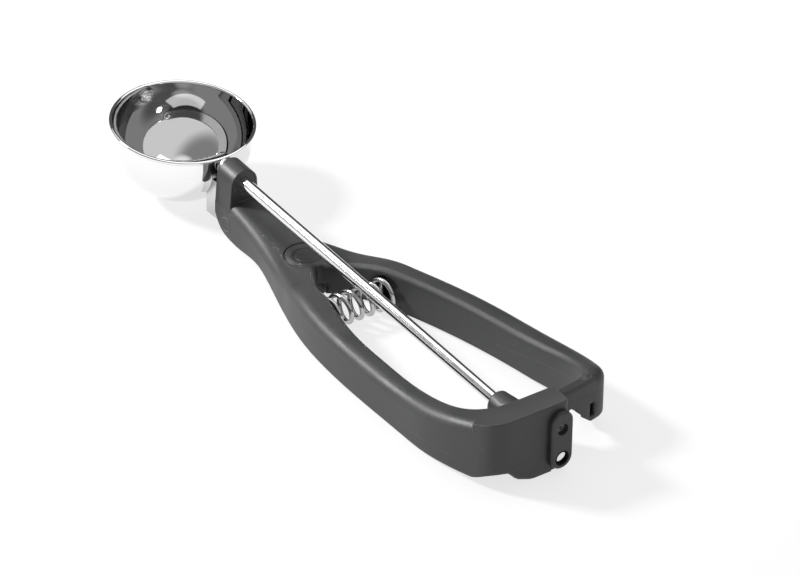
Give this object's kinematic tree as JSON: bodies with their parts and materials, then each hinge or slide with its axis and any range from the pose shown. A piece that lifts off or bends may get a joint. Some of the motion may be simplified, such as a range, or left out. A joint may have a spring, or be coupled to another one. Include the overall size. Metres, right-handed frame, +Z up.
{
  "type": "lever ice cream scoop",
  "caption": "Spring-lever ice cream scoop: deep polished bowl, scraper blade turned by a long shaft with a rack and pinion in the handle's hollow cross-bar.",
  "frame": {"origin": "Middle of the footprint, on the surface that the scoop lies on.", "axes": "+X runs from the bowl to the rear of the handle, +Y to the squeeze lever's side, +Z up, with the bowl's mouth upward."},
  "size_m": [0.2424, 0.064, 0.0311],
  "materials": {
    "handle_polyamide": "fine satin mould finish, dark grey",
    "lever_polyamide": "fine satin mould finish, dark grey",
    "plate_polyamide": "fine satin mould finish, dark grey",
    "cap_polyamide": "smooth moulded, dark grey",
    "pin_polyamide": "smooth moulded, dark grey",
    "bush_plastic": "smooth bearing plastic, black",
    "polished_bowl": "mirror-polished stainless steel inside and out",
    "polished_shaft": "bright polished stainless rod",
    "blade_steel": "polished strip with fine drawing lines",
    "bracket_steel": "bright rolled stainless",
    "rivet_steel": "bright headed rivet",
    "pivot_steel": "turned stainless",
    "spring_steel": "drawn stainless wire and spring strip",
    "screw_steel": "plain stainless screw",
    "gear_steel": "cut stainless teeth"
  },
  "bodies": {
    "handle": {"fixed_handle": "handle_polyamide", "bowl": "polished_bowl", "bowl_bracket": "bracket_steel", "bracket_pin": "pin_polyamide", "blade_rivet": "rivet_steel", "front_bush": "bush_plastic", "nose_bush": "bush_plastic", "end_plate": "plate_polyamide", "end_bush": "bush_plastic", "end_plate_screw": "screw_steel", "pivot_pin": "pivot_steel", "pivot_cap": "cap_polyamide", "pivot_washer": "pivot_steel", "pivot_ring": "spring_steel", "return_spring": "spring_steel"},
    "lever": {"squeeze_lever": "lever_polyamide"},
    "wiper": {"wiper_shaft": "polished_shaft", "wiper_blade": "blade_steel", "shaft_collar": "pivot_steel", "pinion": "gear_steel", "pinion_ring": "spring_steel"}
  },
  "joints": [
    {"name": "lever_squeeze", "type": "hinge", "parent": "handle", "child": "lever", "pos_m": [-0.02, -0.00186, 0], "axis": [0, 0, -1], "range_deg": [0, 6.06], "stiffness_Nm_per_rad": 4, "springref_deg": -8.59, "deforming": ["return_spring"]},
    {"name": "wiper_turn", "type": "hinge", "parent": "handle", "child": "wiper", "pos_m": [-0.0946, -0.00186, 0.0252], "axis": [0.9962, 0, -0.0875], "range_deg": [0, 170]}
  ],
  "couplings": [
    {"joint": "wiper_turn", "follows": "lever_squeeze", "ratio": 28.044}
  ]
}
